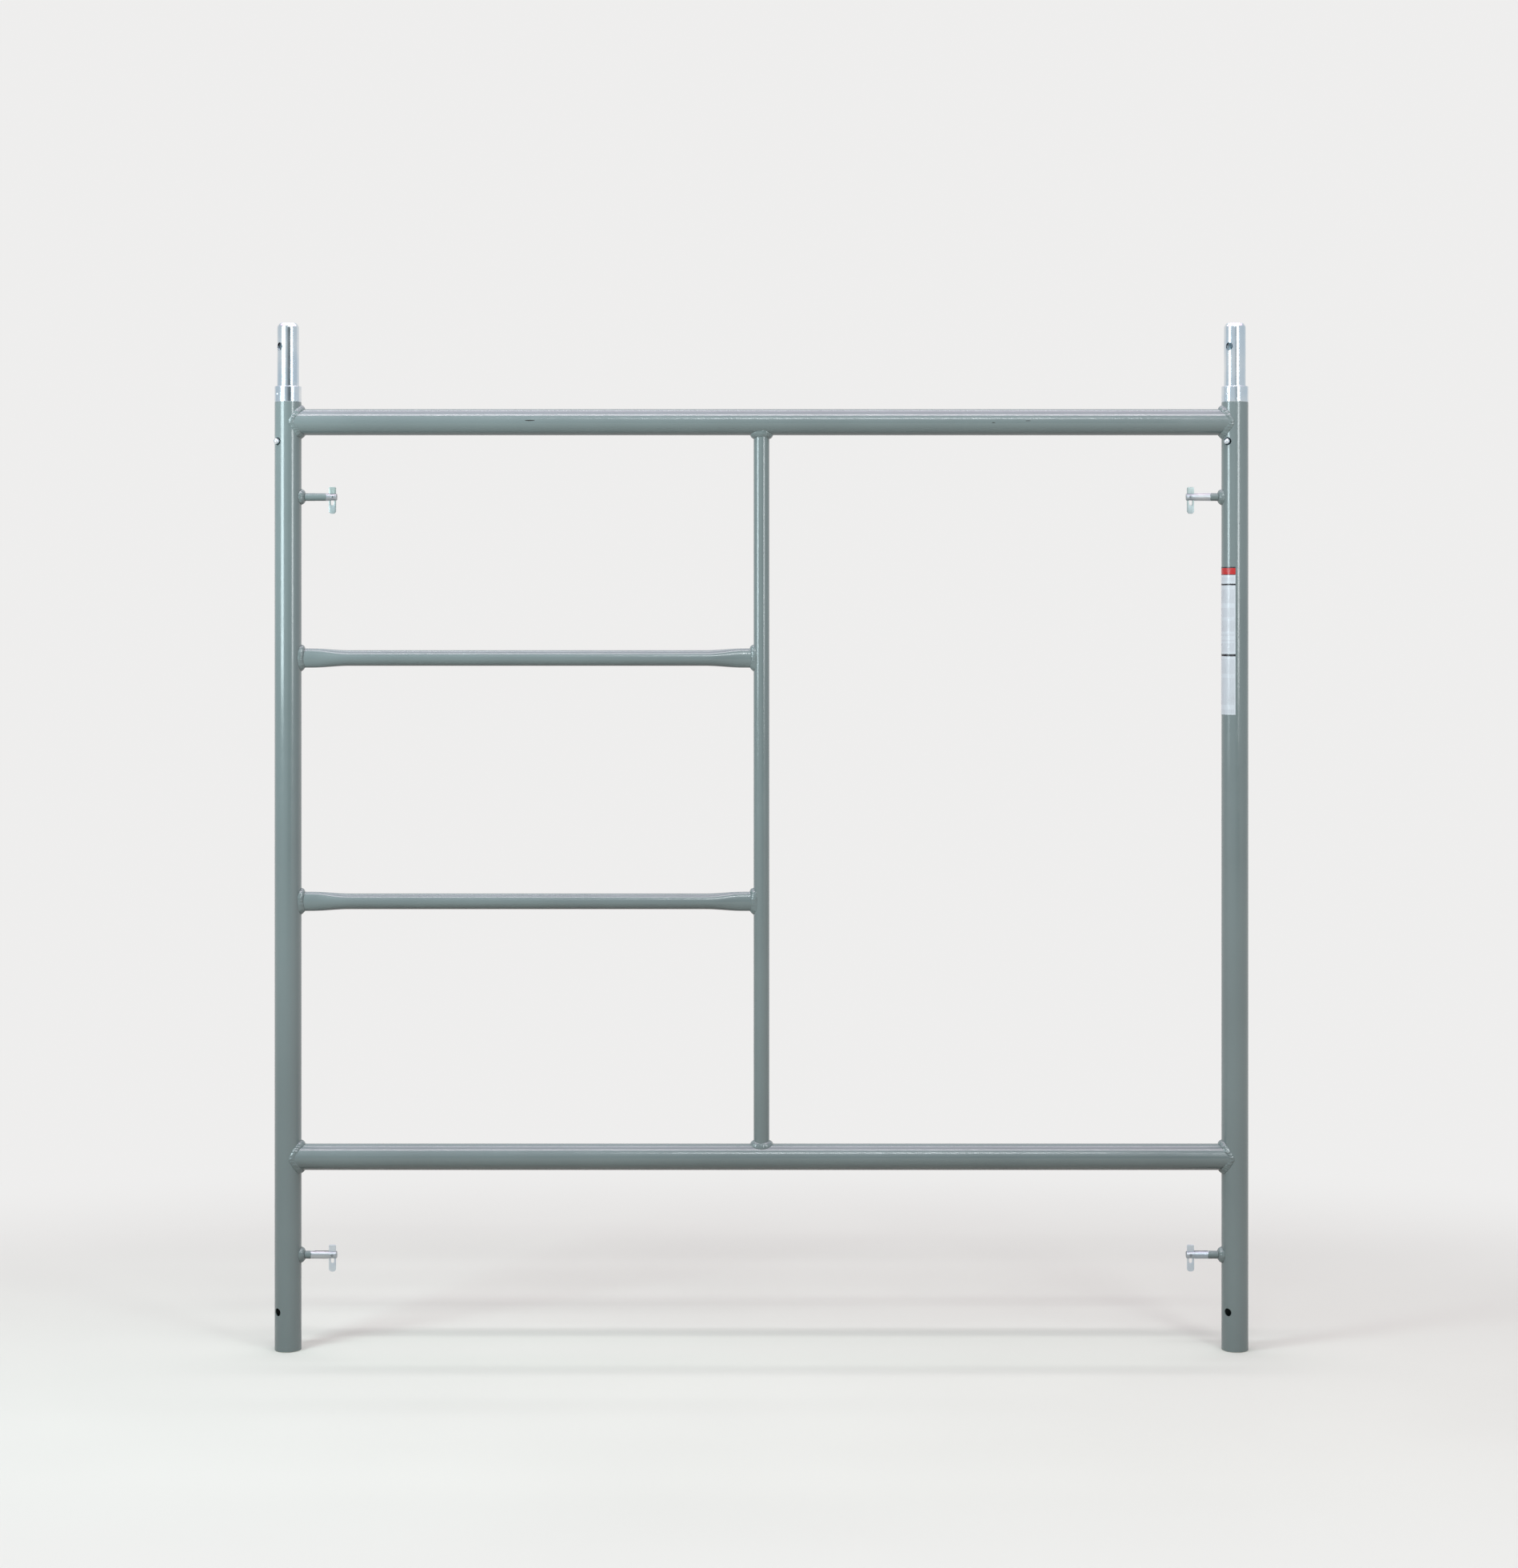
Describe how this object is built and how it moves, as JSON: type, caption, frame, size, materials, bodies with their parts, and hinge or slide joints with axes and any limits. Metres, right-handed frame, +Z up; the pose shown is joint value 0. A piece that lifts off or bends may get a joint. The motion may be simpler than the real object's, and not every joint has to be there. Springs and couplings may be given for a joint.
{
  "type": "scaffold step frame",
  "caption": "Welded tubular steel scaffold frame with a centre post, ladder rungs on one side, drop-lock brace studs and sprung coupling pins in the leg tops.",
  "frame": {"origin": "on the ground midway between the legs' axes", "axes": "+Z up along the legs, X across the frame with the ladder side at -X, front towards -Y"},
  "size_m": [1.5668, 0.046, 1.651],
  "materials": {
    "paint": "glossy grey-green enamel, laid over the welds",
    "zinc": "bright zinc plate",
    "spring_steel": "oiled spring strip",
    "label": "blank sticker with plain bands of colour"
  },
  "bodies": {
    "frame": {"left_leg": "paint", "right_leg": "paint", "left_coupling_pin": "zinc", "right_coupling_pin": "zinc", "pin_collars": "zinc", "left_button_spring": "spring_steel", "right_button_spring": "spring_steel", "lock_studs": "zinc", "bottom_bearer": "paint", "top_bearer": "paint", "centre_post": "paint", "lower_rung": "paint", "upper_rung": "paint", "bearer_welds": "paint", "post_welds": "paint", "rung_welds": "paint", "stud_welds": "paint", "label": "label"},
    "left_button": {"left_snap_button": "zinc"},
    "lower_left_rivet": {"lower_left_rivet": "zinc"},
    "lower_left_toggle": {"lower_left_toggle": "zinc"},
    "upper_left_rivet": {"upper_left_rivet": "zinc"},
    "upper_left_toggle": {"upper_left_toggle": "zinc"},
    "right_button": {"right_snap_button": "zinc"},
    "lower_right_rivet": {"lower_right_rivet": "zinc"},
    "lower_right_toggle": {"lower_right_toggle": "zinc"},
    "upper_right_rivet": {"upper_right_rivet": "zinc"},
    "upper_right_toggle": {"upper_right_toggle": "zinc"}
  },
  "joints": [
    {"name": "left_button_press", "type": "slide", "parent": "frame", "child": "left_button", "axis": [0.6691, 0.7431, 0], "range_m": [0, 0.011], "stiffness_N_per_m": 1500, "springref_m": -0.004, "deforming": ["left_button_spring"]},
    {"name": "lower_left_toggle_turn", "type": "hinge", "parent": "frame", "child": "lower_left_rivet", "pos_m": [-0.69055, 0, 0.1524], "axis": [0, 1, 0], "continuous": true},
    {"name": "lower_left_toggle_slide", "type": "slide", "parent": "lower_left_rivet", "child": "lower_left_toggle", "axis": [0, 0, 1], "range_m": [0, 0.0107]},
    {"name": "upper_left_toggle_turn", "type": "hinge", "parent": "frame", "child": "upper_left_rivet", "pos_m": [-0.69055, 0, 1.3716], "axis": [0, 1, 0], "continuous": true},
    {"name": "upper_left_toggle_slide", "type": "slide", "parent": "upper_left_rivet", "child": "upper_left_toggle", "axis": [0, 0, 1], "range_m": [0, 0.0107]},
    {"name": "right_button_press", "type": "slide", "parent": "frame", "child": "right_button", "axis": [0.6691, 0.7431, 0], "range_m": [0, 0.011], "stiffness_N_per_m": 1500, "springref_m": -0.004, "deforming": ["right_button_spring"]},
    {"name": "lower_right_toggle_turn", "type": "hinge", "parent": "frame", "child": "lower_right_rivet", "pos_m": [0.69055, 0, 0.1524], "axis": [0, 1, 0], "continuous": true},
    {"name": "lower_right_toggle_slide", "type": "slide", "parent": "lower_right_rivet", "child": "lower_right_toggle", "axis": [0, 0, 1], "range_m": [0, 0.0107]},
    {"name": "upper_right_toggle_turn", "type": "hinge", "parent": "frame", "child": "upper_right_rivet", "pos_m": [0.69055, 0, 1.3716], "axis": [0, 1, 0], "continuous": true},
    {"name": "upper_right_toggle_slide", "type": "slide", "parent": "upper_right_rivet", "child": "upper_right_toggle", "axis": [0, 0, 1], "range_m": [0, 0.0107]}
  ]
}
